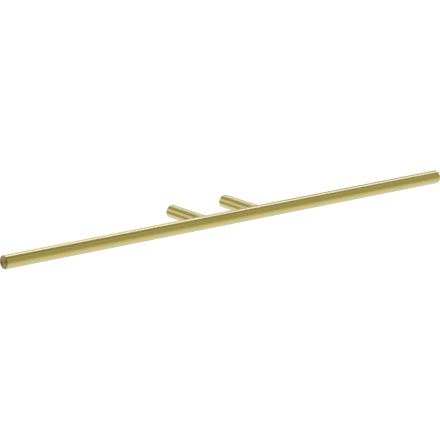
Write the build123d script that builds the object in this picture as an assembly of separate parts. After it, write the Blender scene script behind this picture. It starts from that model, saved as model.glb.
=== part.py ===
from build123d import *
import os
from math import sqrt

# Wall-mounted towel bar: a long round bar on two plain round posts, set close together behind its middle.
# Frame: millimetres, +Z up. The wall is the plane Y = 0 and the bar stands off it towards -Y.
# X runs along the bar, and the origin is on the wall, midway between the posts.
# The bar is a tube closed by turned caps. Each post is bored from the wall side, saddled to the bar and
# drawn against it by a screw from inside, and it slides over a turned hub that is screwed to the wall.

# Bar
BAR_LENGTH = 750.0          # over the end caps
BAR_DIAMETER = 19.0
BAR_WALL = 1.5
CAP_FLANGE = 3.0            # thickness of the disc that shows at the bar's end
CAP_SPIGOT = 10.0           # length of the plug inside the tube
CAP_RIM = 0.4               # chamfer of the disc's outer edge
CAP_LEAD = 0.35             # chamfer of the spigot's inner end
INSERT_LENGTH = 24.0        # tapped plugs inside the tube, in line with the posts

# Posts
POST_DIAMETER = 19.0
POST_BORE = 15.0
POST_SPACING = 92.0         # between the two axes
POST_REACH = 75.5           # from the wall to the bar's axis
POST_WEB = 6.0              # solid metal between the bore and the bar's skin
POST_RIM = 0.4              # chamfers at the wall end
SADDLE_TIP = 0.25           # metal left at the tips of the saddle

# Screws that draw the posts against the bar
SCREW_DIAMETER = 6.0
SCREW_BITE = 12.4           # how far they reach past the bar's skin
SCREW_HEAD_DIAMETER = 10.0
SCREW_HEAD_HEIGHT = 6.0
SCREW_KEY = 5.0             # across the flats of the socket
SCREW_KEY_DEPTH = 3.0
SCREW_EDGE = 0.3            # chamfers on the head and the point
WASHER_DIAMETER = 9.9
WASHER_THICKNESS = 1.6
WASHER_SLIT = 1.0
WASHER_SLANT = 20.0         # degrees, lean of the slit

# Hubs on the wall, and the set screws that lock the posts to them
HUB_LENGTH = 14.0
HUB_HOLE = 5.2
HUB_NOSE = 0.35             # lead-in chamfer
HUB_FLAT_SIDE = 1.0         # flat for the set screw, past it each way
GRUB_DIAMETER = 4.0
GRUB_LENGTH = 4.0
GRUB_FROM_WALL = 6.0
GRUB_RECESS = 0.2           # below the post's skin
GRUB_KEY = 2.0              # across the flats of the socket
GRUB_KEY_DEPTH = 1.6
GRUB_EDGE = 0.2

# Clearances, all radial
PLUG_GAP = 0.03             # caps and inserts in the tube
SADDLE_GAP = 0.02           # saddle on the bar
HOLE_GAP = 0.3              # screws through plain holes
THREAD_GAP = 0.02           # screws in tapped holes
HUB_GAP = 0.1               # hubs in the posts
SEAT_GAP = 0.05             # end of a set screw over the hub's flat

BAR_RADIUS = BAR_DIAMETER / 2
TUBE_BORE_RADIUS = BAR_RADIUS - BAR_WALL
PLUG_RADIUS = TUBE_BORE_RADIUS - PLUG_GAP
POST_RADIUS = POST_DIAMETER / 2
POST_BORE_RADIUS = POST_BORE / 2
POST_BORE_DEPTH = POST_REACH - BAR_RADIUS - POST_WEB
SCREW_RADIUS = SCREW_DIAMETER / 2
SCREW_HOLE_RADIUS = SCREW_RADIUS + HOLE_GAP
SCREW_SEAT = POST_BORE_DEPTH - WASHER_THICKNESS          # underside of the head, from the wall
HUB_RADIUS = POST_BORE_RADIUS - HUB_GAP
GRUB_RADIUS = GRUB_DIAMETER / 2
GRUB_TIP = POST_RADIUS - GRUB_RECESS - GRUB_LENGTH       # inner end of the set screw, from the post's axis
LEFT, RIGHT = -1, 1


def turned(*profile):
    """A solid of revolution about Z, from a closed profile of (radius, height) points."""
    outline = Polyline(*[(radius, 0, height) for radius, height in profile], close=True)
    return revolve(make_face(outline), Axis.Z)


def standing(radius, height):
    """A cylinder that stands on Z = 0."""
    return Cylinder(radius, height, align=(Align.CENTER, Align.CENTER, Align.MIN))


def hex_socket(across_flats, depth):
    """A cutter for a hexagon key, that stands on Z = 0."""
    return extrude(RegularPolygon(across_flats / 2, 6, major_radius=False), depth)


def downwards(shape, start):
    """Turns a shape so that its Z runs down the set screw's axis, from a start off the post's axis."""
    return Plane((0, -start, GRUB_FROM_WALL), x_dir=(1, 0, 0), z_dir=(0, -1, 0)).location * shape


def on_wall(shape, side):
    """Stands a shape on the wall at one post's axis: its Z runs out to the bar, and its Y is upwards."""
    return Pos(side * POST_SPACING / 2, 0, 0) * Plane.XZ.location * shape


def along_bar(shape, place, facing=RIGHT):
    """Puts a shape on the bar's axis, with its Z along the bar."""
    return Plane((place, -POST_REACH, 0), z_dir=(facing, 0, 0)).location * shape


def bar_tube():
    length = BAR_LENGTH - 2 * CAP_FLANGE
    tube = along_bar(Cylinder(BAR_RADIUS, length) - Cylinder(TUBE_BORE_RADIUS, length), 0)
    hole_through_back = Pos(0, 0, POST_BORE_DEPTH) * standing(SCREW_HOLE_RADIUS, POST_WEB + BAR_RADIUS)
    for side in (LEFT, RIGHT):
        tube -= on_wall(hole_through_back, side)
    return tube


def end_cap(side):
    foot = -CAP_FLANGE - CAP_SPIGOT
    cap = turned(
        (0, 0), (BAR_RADIUS - CAP_RIM, 0), (BAR_RADIUS, -CAP_RIM), (BAR_RADIUS, -CAP_FLANGE),
        (PLUG_RADIUS, -CAP_FLANGE), (PLUG_RADIUS, foot + CAP_LEAD), (PLUG_RADIUS - CAP_LEAD, foot), (0, foot),
    )
    return along_bar(cap, side * BAR_LENGTH / 2, side)


def thread_insert(side):
    plug = along_bar(Cylinder(PLUG_RADIUS, INSERT_LENGTH), side * POST_SPACING / 2)
    tapped_hole = Pos(0, 0, POST_REACH) * Cylinder(SCREW_RADIUS + THREAD_GAP, BAR_DIAMETER)
    return plug - on_wall(tapped_hole, side)


def post(side):
    rim = min(POST_RIM, (POST_RADIUS - POST_BORE_RADIUS) / 3)
    saddle_radius = BAR_RADIUS + SADDLE_GAP
    tip_to_axis = sqrt(max(0, saddle_radius**2 - (POST_RADIUS - SADDLE_TIP)**2))
    blank = POST_REACH - tip_to_axis
    body = turned(
        (POST_BORE_RADIUS + rim, 0), (POST_RADIUS - rim, 0), (POST_RADIUS, rim),
        (POST_RADIUS, blank), (SCREW_HOLE_RADIUS, blank), (SCREW_HOLE_RADIUS, POST_BORE_DEPTH),
        (POST_BORE_RADIUS, POST_BORE_DEPTH), (POST_BORE_RADIUS, rim),
    )
    body -= Pos(0, 0, POST_REACH) * Rot(0, 90, 0) * Cylinder(saddle_radius, 2 * POST_DIAMETER)
    body -= downwards(standing(GRUB_RADIUS + THREAD_GAP, POST_DIAMETER), 0)
    return on_wall(body, side)


def joint_screw(side):
    head, top = SCREW_HEAD_DIAMETER / 2, -SCREW_HEAD_HEIGHT
    end = WASHER_THICKNESS + POST_WEB + SCREW_BITE
    screw = turned(
        (0, top), (head - SCREW_EDGE, top), (head, top + SCREW_EDGE), (head, 0), (SCREW_RADIUS, 0),
        (SCREW_RADIUS, end - SCREW_EDGE), (SCREW_RADIUS - SCREW_EDGE, end), (0, end),
    )
    screw -= Pos(0, 0, top) * hex_socket(SCREW_KEY, SCREW_KEY_DEPTH)
    return on_wall(Pos(0, 0, SCREW_SEAT) * screw, side)


def spring_washer(side):
    outside = WASHER_DIAMETER / 2
    ring = standing(outside, WASHER_THICKNESS) - standing(SCREW_HOLE_RADIUS, WASHER_THICKNESS)
    slit = Box(WASHER_DIAMETER, WASHER_SLIT, 3 * WASHER_THICKNESS)
    ring -= Pos(outside, 0, WASHER_THICKNESS / 2) * Rot(WASHER_SLANT, 0, 0) * slit
    return on_wall(Pos(0, 0, SCREW_SEAT) * ring, side)


def wall_hub(side):
    hole = HUB_HOLE / 2
    hub = turned(
        (hole, 0), (HUB_RADIUS, 0), (HUB_RADIUS, HUB_LENGTH - HUB_NOSE),
        (HUB_RADIUS - HUB_NOSE, HUB_LENGTH), (hole, HUB_LENGTH),
    )
    flat_width = GRUB_DIAMETER + 2 * HUB_FLAT_SIDE
    cutter = Box(POST_DIAMETER, flat_width, POST_RADIUS, align=(Align.CENTER, Align.CENTER, Align.MIN))
    hub -= downwards(cutter, GRUB_TIP - SEAT_GAP)
    return on_wall(hub, side)


def grub_screw(side):
    shoulder = GRUB_RADIUS - GRUB_EDGE
    grub = turned(
        (0, 0), (shoulder, 0), (GRUB_RADIUS, GRUB_EDGE), (GRUB_RADIUS, GRUB_LENGTH - GRUB_EDGE),
        (shoulder, GRUB_LENGTH), (0, GRUB_LENGTH),
    )
    grub -= Pos(0, 0, GRUB_LENGTH - GRUB_KEY_DEPTH) * hex_socket(GRUB_KEY, GRUB_KEY_DEPTH)
    return on_wall(downwards(grub, GRUB_TIP), side)


def main():
    pieces = {"bar_tube": bar_tube()}
    for make in (end_cap, thread_insert, post, joint_screw, spring_washer, wall_hub, grub_screw):
        for name, side in (("left", LEFT), ("right", RIGHT)):
            pieces[f"{make.__name__}_{name}"] = make(side)
    os.makedirs("parts", exist_ok=True)
    for node, shape in pieces.items():
        export_step(shape, f"parts/{node}.step")


main()
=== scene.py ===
import math

import bmesh
import bpy
from mathutils import Matrix, Vector


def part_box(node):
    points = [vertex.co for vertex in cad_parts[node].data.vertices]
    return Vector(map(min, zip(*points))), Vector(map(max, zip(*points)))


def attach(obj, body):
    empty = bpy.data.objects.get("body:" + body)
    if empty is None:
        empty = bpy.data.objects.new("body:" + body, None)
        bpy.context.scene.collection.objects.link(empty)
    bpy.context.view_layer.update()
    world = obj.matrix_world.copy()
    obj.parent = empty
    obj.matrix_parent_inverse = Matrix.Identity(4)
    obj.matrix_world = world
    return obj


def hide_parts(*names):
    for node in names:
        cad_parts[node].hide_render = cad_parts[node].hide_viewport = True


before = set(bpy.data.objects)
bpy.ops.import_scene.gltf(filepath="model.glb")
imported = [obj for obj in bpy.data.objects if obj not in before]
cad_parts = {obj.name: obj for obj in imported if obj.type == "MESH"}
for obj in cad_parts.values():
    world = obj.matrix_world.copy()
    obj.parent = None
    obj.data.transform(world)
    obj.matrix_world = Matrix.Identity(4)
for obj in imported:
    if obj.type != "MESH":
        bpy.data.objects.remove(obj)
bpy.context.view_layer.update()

# Wall-mounted towel bar in brushed brass. Frame: metres, +Z up, the wall is the plane Y = 0 and the bar
# stands off it towards -Y. X runs along the bar, and the origin is on the wall, midway between the posts.

tube_low, tube_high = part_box("bar_tube")
cap_low, cap_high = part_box("end_cap_right")
post_low, post_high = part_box("post_right")
screw_low, screw_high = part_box("joint_screw_right")
washer_low, washer_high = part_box("spring_washer_right")
grub_low, grub_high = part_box("grub_screw_right")
LEFT, RIGHT = -1, 1
SIDES = {"left": LEFT, "right": RIGHT}

# Bar
BAR_RADIUS = (tube_high.z - tube_low.z) / 2
BAR_AXIS_Y = tube_high.y - BAR_RADIUS
BAR_END = cap_high.x
TUBE_END = tube_high.x                                   # where the end caps begin
TUBE_WALL = 0.0015
TUBE_BORE = BAR_RADIUS - TUBE_WALL
PLUG_GAP = 0.00003                                       # round the caps' spigots
SPIGOT_RADIUS = TUBE_BORE - PLUG_GAP
SPIGOT_LEAD = 0.00035
SPIGOT_END = cap_low.x
CAP_RIM = 0.0004                                         # rounding of the disc's edge
EDGE_BREAK = 0.0001                                      # fine chamfers on both sides of the caps' seams

# Posts, with distances from the wall
POST_AXIS_X = (post_low.x + post_high.x) / 2
POST_RADIUS = (post_high.x - post_low.x) / 2
POST_RIM = 0.0004                                        # at the wall end
POST_BORE = 0.0075
POST_BORE_DEPTH = -washer_low.y
SADDLE_GAP = 0.00002                                     # between the saddle and the bar
SADDLE_RADIUS = BAR_RADIUS + SADDLE_GAP
SADDLE_TIP = -post_low.y
SCREW_HOLE = 0.0033

# Screws inside the posts, with distances from the wall
SCREW_RADIUS = 0.003
SCREW_PITCH = 0.001
SCREW_TOP, SCREW_SEAT, SCREW_END = -screw_high.y, -washer_high.y, -screw_low.y
SCREW_HEAD = (screw_high.x - screw_low.x) / 2
SCREW_KEY, SCREW_KEY_DEPTH = 0.005, 0.003                # across the flats of the socket
SCREW_EDGE = 0.0003

# Set screws, with distances below the posts' axes
GRUB_AXIS_Y = (grub_low.y + grub_high.y) / 2
GRUB_RADIUS = (grub_high.x - grub_low.x) / 2
GRUB_PITCH = 0.0007
GRUB_TIP, GRUB_END = -grub_high.z, -grub_low.z
GRUB_KEY, GRUB_KEY_DEPTH = 0.002, 0.0016
GRUB_EDGE = 0.0002
THREAD_GAP = 0.00002                                     # round a screw in its tapped hole
GRUB_HOLE = GRUB_RADIUS + THREAD_GAP

# Fineness of the meshes
SEGMENTS = 144                                           # round the bar and the posts
SCREW_SEGMENTS = 72
RIM_STEPS = 6
SADDLE_STEPS = 8
THREAD_STEPS = 8                                         # along one turn
THREAD_DEPTH = 0.6                                       # as a share of the pitch
HOLE_MARGIN = 0.003                                      # from a drilled hole to the next ring of the mesh
WELD = 0.000001                                          # points nearer than this become one
SHARP_ANGLE = math.radians(25)

# Brushed and turned lines
LINE_PITCH = 500.0                                       # coarsest lines, per metre
LINE_FADE = 45.0                                         # how soon a line fades along its arc, per metre
LINE_DEPTH = 0.000002
LINE_SHARE, CLOUD_SHARE = 0.6, 0.4                       # of the tone
CLOUD_SCALE = 30.0                                       # slow change of tone, per metre
LINE_DETAIL, CLOUD_DETAIL = 4.0, 2.0
QUARTER_TURN = 0.25                                      # sets the highlights across the lines
LACQUER_ROUGH = 0.12

# Colours, linear
BRASS = (0.595, 0.504, 0.134)
BRASS_SHADE = (0.545, 0.458, 0.115)
# End faces: darker, browner brass, partly the tone of their rough turned grooves and partly painted shade
# for the dim light they get
FACE_BRASS = (0.500, 0.398, 0.115)
FACE_BRASS_SHADE = (0.400, 0.305, 0.082)
RAW_BRASS = (0.560, 0.440, 0.150)
RAW_BRASS_SHADE = (0.480, 0.370, 0.120)
STEEL = (0.565, 0.560, 0.538)
STEEL_SHADE = (0.445, 0.440, 0.422)

# Floor of the studio, with painted light: a white pool, painted fading to the front and painted dimming far
# off
FLOOR_DROP = 1.2                                         # below the bar
FLOOR_HALF = 60.0
FLOOR_WHITE = (1.0, 1.0, 1.08)
FLOOR_GLOW = 0.91                                        # of its brightness, the rest is lit
FLOOR_MATTE = 0.30
FLOOR_LEVEL = 1.04                                       # brightness of white under the dome alone
FLOOR_PAINTED_FADE = 10.0                                        # how far to the front the floor's painted fading goes on
# painted fading of the floor towards the front, as (place, brightness) stops
FLOOR_PAINTED_FADE_STOPS = [(0.0, 0.05), (0.60, 0.50), (0.78, 0.78), (0.88, 1.0)]
FLOOR_PAINTED_FAR = 0.70                                         # painted dimness round the painted pool of light, in the dome's tint
FAR_INNER, FAR_OUTER = 10.0, 27.0                        # from there the painted dimming fades to the horizon
PAINTED_POOL_CENTRE = (2.2, 2.9, -FLOOR_DROP)                    # of the painted white pool of light
PAINTED_POOL_INNER, PAINTED_POOL_OUTER = 5.2, 9.0

# Dome, lamps and flags of the studio
HORIZON = 0.63
DOME_TINT = (1.0, 0.975, 0.865)
DOME_STOPS = [
    (0.0, HORIZON), (0.30, 0.525), (0.42, 0.515), (0.64, 0.64), (0.73, 0.57), (0.785, 0.34), (1.0, 0.31),
]
DOME_REAR = 0.70                                         # high behind the wall, as a share of the front
DOME_REAR_FROM, DOME_REAR_TO = 0.10, 0.45                # where that comes in, by depth times height
COOL, PALE = (0.90, 0.95, 1.60), (0.96, 0.98, 1.10)
SOFTBOXES = {                                            # centre, aim, width, height, brightness, tint
    "softbox_above": ((0, 0.64, 1.4), (0, 0.64, 0), 6.0, 0.74, 1.60, COOL),
    "softbox_back_left": ((-1.37, 1.96, 0.76), (0, 0, 0), 1.2, 1.0, 0.68, PALE),
    "softbox_back_right": ((0.90, 1.85, 1.22), (0, 0, 0), 1.3, 0.85, 0.80, PALE),
}
FLAGS = {                                                # centre, width, height, grey
    "flag_back_left": ((-1.75, 2.30, -0.79), 4.4, 0.50, 0.92),
    "flag_left": ((-2.60, 1.00, -0.20), 2.3, 0.9, 0.25),
    "flag_below": ((0, 0.50, -0.95), 8.0, 0.40, 0.80),
}

# Camera
CAMERA_AZIMUTH = -37.48                                  # degrees, 0 being in front on the -Y side
CAMERA_ELEVATION = 14.99
CAMERA_DISTANCE = 4.2028
CAMERA_RIGHT = 0.0304                                    # of the origin, across the view
CAMERA_UP = -0.0192
CAMERA_LENS = 246.2                                      # millimetres, on a 36 mm sensor


class Nodes:
    """Fills a node tree. A socket takes a value, or the output of another node."""

    def __init__(self, owner):
        owner.use_nodes = True
        self.tree = owner.node_tree
        self.tree.nodes.clear()

    def add(self, kind, sockets=None, **settings):
        made = self.tree.nodes.new("ShaderNode" + kind)
        for name, value in settings.items():
            setattr(made, name, value)
        for name, value in (sockets or {}).items():
            if isinstance(value, bpy.types.NodeSocket):
                self.tree.links.new(value, made.inputs[name])
            else:
                made.inputs[name].default_value = value
        return made

    def math(self, operation, *values):
        return self.add("Math", dict(enumerate(values)), operation=operation).outputs[0]

    def spread(self, value, low, high):
        """Takes 0 to 1 on to low to high."""
        return self.add("MapRange", {"Value": value, "To Min": low, "To Max": high}).outputs[0]

    def share(self, value, low, high):
        """Takes low to high on to 0 to 1."""
        return self.add("MapRange", {"Value": value, "From Min": low, "From Max": high}).outputs[0]

    def mix(self, share, first, second):
        return self.add("Mix", {0: share, 6: first, 7: second}, data_type="RGBA").outputs[2]

    def noise(self, vector, scale, detail):
        return self.add("TexNoise", {"Vector": vector, "Scale": scale, "Detail": detail}).outputs[0]

    def ramp(self, value, stops, tint=(1.0, 1.0, 1.0)):
        """A ramp of one tint through (place, brightness) stops."""
        made = self.add("ValToRGB", {"Fac": value})
        elements = made.color_ramp.elements
        while len(elements) < len(stops):
            elements.new(1.0)
        for element, (place, brightness) in zip(elements, stops):
            element.position = place
            element.color = (*(brightness * share for share in tint), 1)
        return made.outputs[0]


def across_lines(nodes, axis, centre):
    """Lines are circles round an axis. Gives the distance across them, and the two sides off the axis."""
    place = nodes.add("TexCoord").outputs["Object"]
    x, y, z = nodes.add("SeparateXYZ", {0: place}).outputs
    parts = {"X": nodes.math("ABSOLUTE", x), "Y": y, "Z": z}
    along = parts.pop(axis)
    sides = [nodes.math("SUBTRACT", part, centre["XYZ".index(name)]) for name, part in parts.items()]
    squares = [nodes.math("MULTIPLY", side, side) for side in sides]
    out = nodes.math("SQRT", nodes.math("ADD", *squares))
    return nodes.math("ADD", along, out), sides


def turned_metal(name, axis, centre, light, shade, smooth, rough, draw, lacquer):
    """Metal with fine turned or brushed lines round an axis. Highlights draw out across the lines."""
    material = bpy.data.materials.new(name)
    nodes = Nodes(material)
    across, sides = across_lines(nodes, axis, centre)
    stretched = [nodes.math("MULTIPLY", across, LINE_PITCH)]
    stretched += [nodes.math("MULTIPLY", side, LINE_FADE) for side in sides]
    lines = nodes.noise(nodes.add("CombineXYZ", dict(enumerate(stretched))).outputs[0], 1.0, LINE_DETAIL)
    clouds = nodes.noise(nodes.add("TexCoord").outputs["Object"], CLOUD_SCALE, CLOUD_DETAIL)
    line_tone = nodes.math("MULTIPLY", lines, LINE_SHARE)
    tone = nodes.math("ADD", line_tone, nodes.math("MULTIPLY", clouds, CLOUD_SHARE))
    bump = nodes.add("Bump", {"Height": lines, "Strength": 1.0, "Distance": LINE_DEPTH})
    shader = nodes.add("BsdfPrincipled", {
        "Base Color": nodes.mix(tone, (*shade, 1), (*light, 1)),
        "Metallic": 1.0,
        "Roughness": nodes.spread(tone, rough, smooth),
        "Anisotropic": draw,
        "Anisotropic Rotation": QUARTER_TURN,
        "Tangent": nodes.add("Tangent", direction_type="RADIAL", axis=axis).outputs[0],
        "Normal": bump.outputs[0],
        "Coat Weight": lacquer,
        "Coat Roughness": LACQUER_ROUGH,
    })
    nodes.add("OutputMaterial", {"Surface": shader.outputs[0]})
    return material


BAR_CENTRE = (0, BAR_AXIS_Y, 0)
POST_CENTRE = (POST_AXIS_X, 0, 0)
GRUB_CENTRE = (POST_AXIS_X, GRUB_AXIS_Y, 0)
BRUSHED = dict(light=BRASS, shade=BRASS_SHADE, smooth=0.20, rough=0.28, draw=0.5, lacquer=1.0)
# The turned face's darker brass is partly painted shade.
TURNED_FACE = dict(light=FACE_BRASS, shade=FACE_BRASS_SHADE, smooth=0.32, rough=0.40, draw=0.9, lacquer=0.3)
PLATED = dict(light=STEEL, shade=STEEL_SHADE, smooth=0.22, rough=0.38, draw=0.6, lacquer=0.0)
RAW = dict(light=RAW_BRASS, shade=RAW_BRASS_SHADE, smooth=0.25, rough=0.45, draw=0.6, lacquer=0.0)

brass_bar = turned_metal("brushed_brass_bar", "X", BAR_CENTRE, **BRUSHED)
brass_face = turned_metal("turned_brass_face", "X", BAR_CENTRE, **TURNED_FACE)
brass_post = turned_metal("brushed_brass_post", "Y", POST_CENTRE, **BRUSHED)
steel_post = turned_metal("plated_steel", "Y", POST_CENTRE, **PLATED)
steel_grub = turned_metal("plated_steel_set_screw", "Z", GRUB_CENTRE, **PLATED)
raw_brass = turned_metal("raw_brass_insert", "X", BAR_CENTRE, **RAW)


def on_bar(along, u, v):
    """A place by its distance along the bar's axis, and its two sides off it."""
    return along, BAR_AXIS_Y + u, v


def on_post(side):
    return lambda along, u, v: (side * POST_AXIS_X + u, -along, v)


def on_set_screw(side):
    return lambda along, u, v: (side * POST_AXIS_X + u, GRUB_AXIS_Y + v, -along)


def turned_piece(name, place, segments, profile, *materials):
    """A closed solid turned about an axis, from a profile of (along, radius) points. Radius 0 is a pole.
    A radius may go by the angle, and a distance along by the height off the axis. A third value picks the
    material of the faces that lead on from the point."""
    points, faces, shades, rings = [], [], [], []
    for along, radius, *shade in profile:
        count = 1 if radius == 0 else segments
        rings.append((len(points), count, shade[0] if shade else 0))
        for i in range(count):
            angle = 2 * math.pi * i / count
            out = radius(angle) if callable(radius) else radius
            u, v = out * math.cos(angle), out * math.sin(angle)
            points.append(place(along(v) if callable(along) else along, u, v))
    for (here, count, shade), (there, next_count, _) in zip(rings, rings[1:] + rings[:1]):
        if count == next_count == 1:
            continue
        for i in range(segments):
            j = (i + 1) % segments
            loop = [here + i % count, here + j % count, there + j % next_count, there + i % next_count]
            faces.append(list(dict.fromkeys(loop)))
            shades.append(shade)
    mesh = bpy.data.meshes.new(name)
    mesh.from_pydata(points, [], faces)
    for material in materials:
        mesh.materials.append(material)
    for polygon, shade in zip(mesh.polygons, shades):
        polygon.material_index = shade
    made = bpy.data.objects.new(name, mesh)
    bpy.context.collection.objects.link(made)
    return made


def rim(along, radius, rounding, shade=0):
    """A rounded outer edge at one end, from the face at a place along to the skin."""
    turns = [math.pi / 2 * step / RIM_STEPS for step in range(RIM_STEPS + 1)]
    inner, back = radius - abs(rounding), along + rounding
    return [(back - rounding * math.cos(t), inner + abs(rounding) * math.sin(t), shade) for t in turns]


def hexagon(across_flats):
    """Radius of a hexagon by the angle."""
    sixth = math.pi / 3
    return lambda angle: across_flats / 2 / math.cos(angle % sixth - sixth / 2)


def thread(start, end, radius, pitch):
    """Points along a V thread that fades in and out over one turn."""
    steps = round((end - start) / pitch * THREAD_STEPS)
    for step in range(steps + 1):
        along = start + (end - start) * step / steps
        depth = THREAD_DEPTH * pitch * max(0, min(1, (along - start) / pitch, (end - along) / pitch))
        yield along, thread_radius(radius, depth, along / pitch)


def thread_radius(radius, depth, turns):
    return lambda angle: radius - depth * abs(2 * ((turns - angle / (2 * math.pi)) % 1) - 1)


def drill(piece, start, end, radius):
    """Cuts a round hole from one point to another."""
    start, end = Vector(start), Vector(end)
    turn = (end - start).to_track_quat("Z", "Y").to_matrix().to_4x4()
    shape = bmesh.new()
    bmesh.ops.create_cone(
        shape, cap_ends=True, segments=SCREW_SEGMENTS, radius1=radius, radius2=radius,
        depth=(end - start).length, matrix=Matrix.Translation((start + end) / 2) @ turn,
    )
    mesh = bpy.data.meshes.new("drill")
    shape.to_mesh(mesh)
    shape.free()
    cutter = bpy.data.objects.new("drill", mesh)
    bpy.context.collection.objects.link(cutter)
    cut = piece.modifiers.new("drill", "BOOLEAN")
    cut.operation, cut.solver, cut.object = "DIFFERENCE", "EXACT", cutter
    drilled = bpy.data.meshes.new_from_object(piece.evaluated_get(bpy.context.evaluated_depsgraph_get()))
    piece.modifiers.clear()
    piece.data = drilled
    bpy.data.objects.remove(cutter)
    bpy.data.meshes.remove(mesh)


def finish_piece(piece, node):
    """Faces outwards, smooth up to crisp edges; the piece then stands for its CAD node."""
    shape = bmesh.new()
    shape.from_mesh(piece.data)
    bmesh.ops.remove_doubles(shape, verts=shape.verts, dist=WELD)
    bmesh.ops.recalc_face_normals(shape, faces=shape.faces)
    shape.to_mesh(piece.data)
    shape.free()
    piece.data.shade_smooth()
    piece.data.set_sharp_from_angle(angle=SHARP_ANGLE)
    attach(piece, "root")
    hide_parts(node)


def bar_tube():
    margin = SCREW_HOLE + HOLE_MARGIN
    beside_holes = [side * POST_AXIS_X + step for side in SIDES.values() for step in (-margin, margin)]
    profile = [(-TUBE_END, BAR_RADIUS - EDGE_BREAK), (-TUBE_END + EDGE_BREAK, BAR_RADIUS)]
    profile += [(x, BAR_RADIUS) for x in beside_holes]
    profile += [(TUBE_END - EDGE_BREAK, BAR_RADIUS), (TUBE_END, BAR_RADIUS - EDGE_BREAK)]
    profile += [(x, TUBE_BORE) for x in (TUBE_END, *reversed(beside_holes), -TUBE_END)]
    tube = turned_piece("bar_tube_body", on_bar, SEGMENTS, profile, brass_bar)
    for side in SIDES.values():
        x = side * POST_AXIS_X
        drill(tube, (x, BAR_AXIS_Y, 0), (x, BAR_AXIS_Y + BAR_RADIUS + HOLE_MARGIN, 0), SCREW_HOLE)
    finish_piece(tube, "bar_tube")


def end_cap(name, side):
    face = BAR_RADIUS - CAP_RIM
    profile = [
        (BAR_END, 0, 1), (BAR_END, face / 2, 1), *rim(BAR_END, BAR_RADIUS, -CAP_RIM),
        (TUBE_END + EDGE_BREAK, BAR_RADIUS), (TUBE_END, BAR_RADIUS - EDGE_BREAK), (TUBE_END, SPIGOT_RADIUS),
        (SPIGOT_END + SPIGOT_LEAD, SPIGOT_RADIUS), (SPIGOT_END, SPIGOT_RADIUS - SPIGOT_LEAD),
        (SPIGOT_END, 0),
    ]
    profile = [(side * along, *rest) for along, *rest in profile]
    cap = turned_piece(f"end_cap_{name}_body", on_bar, SEGMENTS, profile, brass_bar, brass_face)
    finish_piece(cap, f"end_cap_{name}")


def saddle(height):
    """Distance from the wall to the saddle, by the height off the post's axis."""
    return min(SADDLE_TIP, -BAR_AXIS_Y - math.sqrt(SADDLE_RADIUS**2 - height**2))


def post(name, side):
    beyond_hole = -GRUB_AXIS_Y + GRUB_HOLE + HOLE_MARGIN
    step = (POST_RADIUS - SCREW_HOLE) / SADDLE_STEPS
    profile = [*rim(0, POST_RADIUS, POST_RIM), (beyond_hole, POST_RADIUS)]
    profile += [(saddle, POST_RADIUS - step * i) for i in range(SADDLE_STEPS + 1)]
    profile += [
        (POST_BORE_DEPTH, SCREW_HOLE), (POST_BORE_DEPTH, POST_BORE), (beyond_hole, POST_BORE),
        (POST_RIM, POST_BORE), (0, POST_BORE + POST_RIM),
    ]
    body = turned_piece(f"post_{name}_body", on_post(side), SEGMENTS, profile, brass_post)
    x = side * POST_AXIS_X
    drill(body, (x, GRUB_AXIS_Y, 0), (x, GRUB_AXIS_Y, -POST_RADIUS - HOLE_MARGIN), GRUB_HOLE)
    finish_piece(body, f"post_{name}")


def joint_screw(name, side):
    socket, socket_floor = hexagon(SCREW_KEY), SCREW_TOP + SCREW_KEY_DEPTH
    profile = [
        (socket_floor, 0), (socket_floor, socket), (SCREW_TOP, socket),
        (SCREW_TOP, SCREW_HEAD - SCREW_EDGE), (SCREW_TOP + SCREW_EDGE, SCREW_HEAD),
        (SCREW_SEAT, SCREW_HEAD), (SCREW_SEAT, SCREW_RADIUS),
        *thread(SCREW_SEAT + SCREW_EDGE, SCREW_END - SCREW_EDGE, SCREW_RADIUS, SCREW_PITCH),
        (SCREW_END, SCREW_RADIUS - SCREW_EDGE), (SCREW_END, 0),
    ]
    screw = turned_piece(f"joint_screw_{name}_body", on_post(side), SCREW_SEGMENTS, profile, steel_post)
    finish_piece(screw, f"joint_screw_{name}")


def grub_screw(name, side):
    socket, socket_floor = hexagon(GRUB_KEY), GRUB_END - GRUB_KEY_DEPTH
    shoulder = GRUB_RADIUS - GRUB_EDGE
    profile = [
        (GRUB_TIP, 0), (GRUB_TIP, shoulder),
        *thread(GRUB_TIP + GRUB_EDGE, GRUB_END - GRUB_EDGE, GRUB_RADIUS, GRUB_PITCH),
        (GRUB_END, shoulder), (GRUB_END, socket), (socket_floor, socket), (socket_floor, 0),
    ]
    grub = turned_piece(f"grub_screw_{name}_body", on_set_screw(side), SCREW_SEGMENTS, profile, steel_grub)
    finish_piece(grub, f"grub_screw_{name}")


bar_tube()
for name, side in SIDES.items():
    end_cap(name, side)
    post(name, side)
    joint_screw(name, side)
    grub_screw(name, side)

# Hidden fixings that keep their solids
finishes = {"thread_insert": raw_brass, "spring_washer": steel_post, "wall_hub": steel_post}
for name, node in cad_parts.items():
    finish = finishes.get(name.rsplit("_", 1)[0])
    if finish:
        for slot in node.material_slots:
            slot.material = finish


def card(name, centre, aim, width, height, material):
    """A flat stage card with its face towards a point."""
    w, h = width / 2, height / 2
    mesh = bpy.data.meshes.new(name)
    mesh.from_pydata([(-w, -h, 0), (w, -h, 0), (w, h, 0), (-w, h, 0)], [], [(0, 1, 2, 3)])
    mesh.materials.append(material)
    made = bpy.data.objects.new(name, mesh)
    made.location = centre
    made.rotation_euler = (Vector(aim) - Vector(centre)).to_track_quat("Z", "Y").to_euler()
    bpy.context.collection.objects.link(made)
    return made


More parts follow.
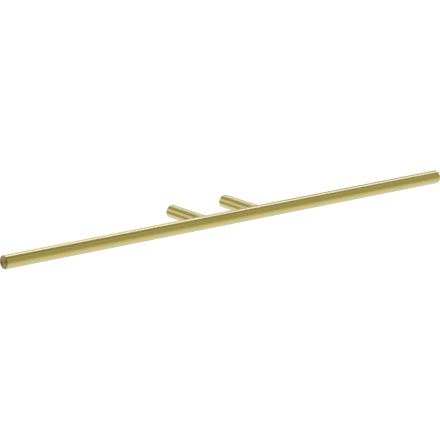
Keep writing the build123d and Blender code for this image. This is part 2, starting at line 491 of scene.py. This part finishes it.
def floor_finish():
    """White in a painted pool of light, with painted fading to the front and to the dome's horizon. Metal
    shows the same floor as the eye sees. From below it is clear."""
    material = bpy.data.materials.new("studio_floor")
    nodes = Nodes(material)
    geometry = nodes.add("NewGeometry").outputs
    path = nodes.add("LightPath").outputs
    seen = nodes.math("MAXIMUM", path["Is Camera Ray"], path["Is Glossy Ray"])
    seen = nodes.math("MAXIMUM", seen, path["Is Transmission Ray"])
    place = geometry["Position"]
    y = nodes.add("SeparateXYZ", {0: place}).outputs["Y"]
    reach = nodes.add("VectorMath", {0: place, 1: PAINTED_POOL_CENTRE}, operation="DISTANCE").outputs[1]
    # Painted light: white in a pool round a point behind the wall, painted darker to the front and far off
    front = nodes.ramp(nodes.share(y, -FLOOR_PAINTED_FADE, 0.0), FLOOR_PAINTED_FADE_STOPS)
    white = nodes.math("MULTIPLY", front, nodes.share(reach, PAINTED_POOL_OUTER, PAINTED_POOL_INNER))
    levels = HORIZON / FLOOR_LEVEL, FLOOR_PAINTED_FAR / FLOOR_LEVEL
    horizon, far = ([level * part for part in DOME_TINT] for level in levels)
    colour = nodes.mix(nodes.share(reach, FAR_OUTER, FAR_INNER), (*horizon, 1), (*far, 1))
    colour = nodes.mix(white, colour, (*FLOOR_WHITE, 1))
    shade = nodes.mix(FLOOR_MATTE, (0, 0, 0, 1), colour)
    matte = nodes.add("BsdfDiffuse", {"Color": shade})
    glow = nodes.add("Emission", {"Color": colour, "Strength": nodes.math("MULTIPLY", seen, FLOOR_GLOW)})
    top = nodes.add("AddShader", {0: matte.outputs[0], 1: glow.outputs[0]})
    clear = nodes.add("BsdfTransparent")
    both = nodes.add("MixShader", {0: geometry["Backfacing"], 1: top.outputs[0], 2: clear.outputs[0]})
    nodes.add("OutputMaterial", {"Surface": both.outputs[0]})
    return material


def flag(name, centre, width, height, grey):
    """An upright grey card that only metal shows."""
    material = bpy.data.materials.new(name)
    nodes = Nodes(material)
    matte = nodes.add("BsdfDiffuse", {"Color": (grey, grey, grey, 1)})
    nodes.add("OutputMaterial", {"Surface": matte.outputs[0]})
    made = card(name, centre, (0, 0, centre[2]), width, height, material)
    made.visible_camera = made.visible_diffuse = made.visible_shadow = False


def softbox(name, centre, aim, width, height, brightness, tint):
    """A soft lamp of even brightness over its face."""
    lamp = bpy.data.lights.new(name, "AREA")
    lamp.shape = "RECTANGLE"
    lamp.size, lamp.size_y = width, height
    lamp.energy = brightness * math.pi * width * height
    lamp.color = tint
    made = bpy.data.objects.new(name, lamp)
    made.location = centre
    made.rotation_euler = (Vector(aim) - Vector(centre)).to_track_quat("-Z", "Y").to_euler()
    bpy.context.collection.objects.link(made)


def dome():
    """A soft warm-grey studio, darker overhead and high behind the wall."""
    world = bpy.data.worlds.new("studio")
    bpy.context.scene.world = world
    nodes = Nodes(world)
    _, depth, height = nodes.add("SeparateXYZ", {0: nodes.add("TexCoord").outputs["Generated"]}).outputs
    rear = nodes.add("MapRange", {
        "Value": nodes.math("MULTIPLY", depth, height),
        "From Min": DOME_REAR_FROM, "From Max": DOME_REAR_TO, "To Min": 1.0, "To Max": DOME_REAR,
    })
    light = nodes.add("Background", {
        "Color": nodes.ramp(height, DOME_STOPS, DOME_TINT),
        "Strength": rear.outputs[0],
    })
    nodes.add("OutputWorld", {"Surface": light.outputs[0]})


def studio():
    card("floor", (0, 0, -FLOOR_DROP), (0, 0, 0), 2 * FLOOR_HALF, 2 * FLOOR_HALF, floor_finish())
    for name, setting in FLAGS.items():
        flag(name, *setting)
    for name, setting in SOFTBOXES.items():
        softbox(name, *setting)
    dome()


def camera():
    azimuth, elevation = math.radians(CAMERA_AZIMUTH), math.radians(CAMERA_ELEVATION)
    level = math.cos(elevation)
    back = Vector((math.sin(azimuth) * level, -math.cos(azimuth) * level, math.sin(elevation)))
    right = Vector((0, 0, 1)).cross(back).normalized()
    up = back.cross(right)
    lens = bpy.data.cameras.new("camera")
    lens.lens = CAMERA_LENS
    lens.clip_end = 2 * FLOOR_HALF
    made = bpy.data.objects.new("camera", lens)
    made.location = CAMERA_DISTANCE * back + CAMERA_RIGHT * right + CAMERA_UP * up
    made.rotation_euler = (-back).to_track_quat("-Z", "Y").to_euler()
    bpy.context.collection.objects.link(made)
    bpy.context.scene.camera = made


studio()
camera()
bpy.context.scene.view_settings.view_transform = "Standard"
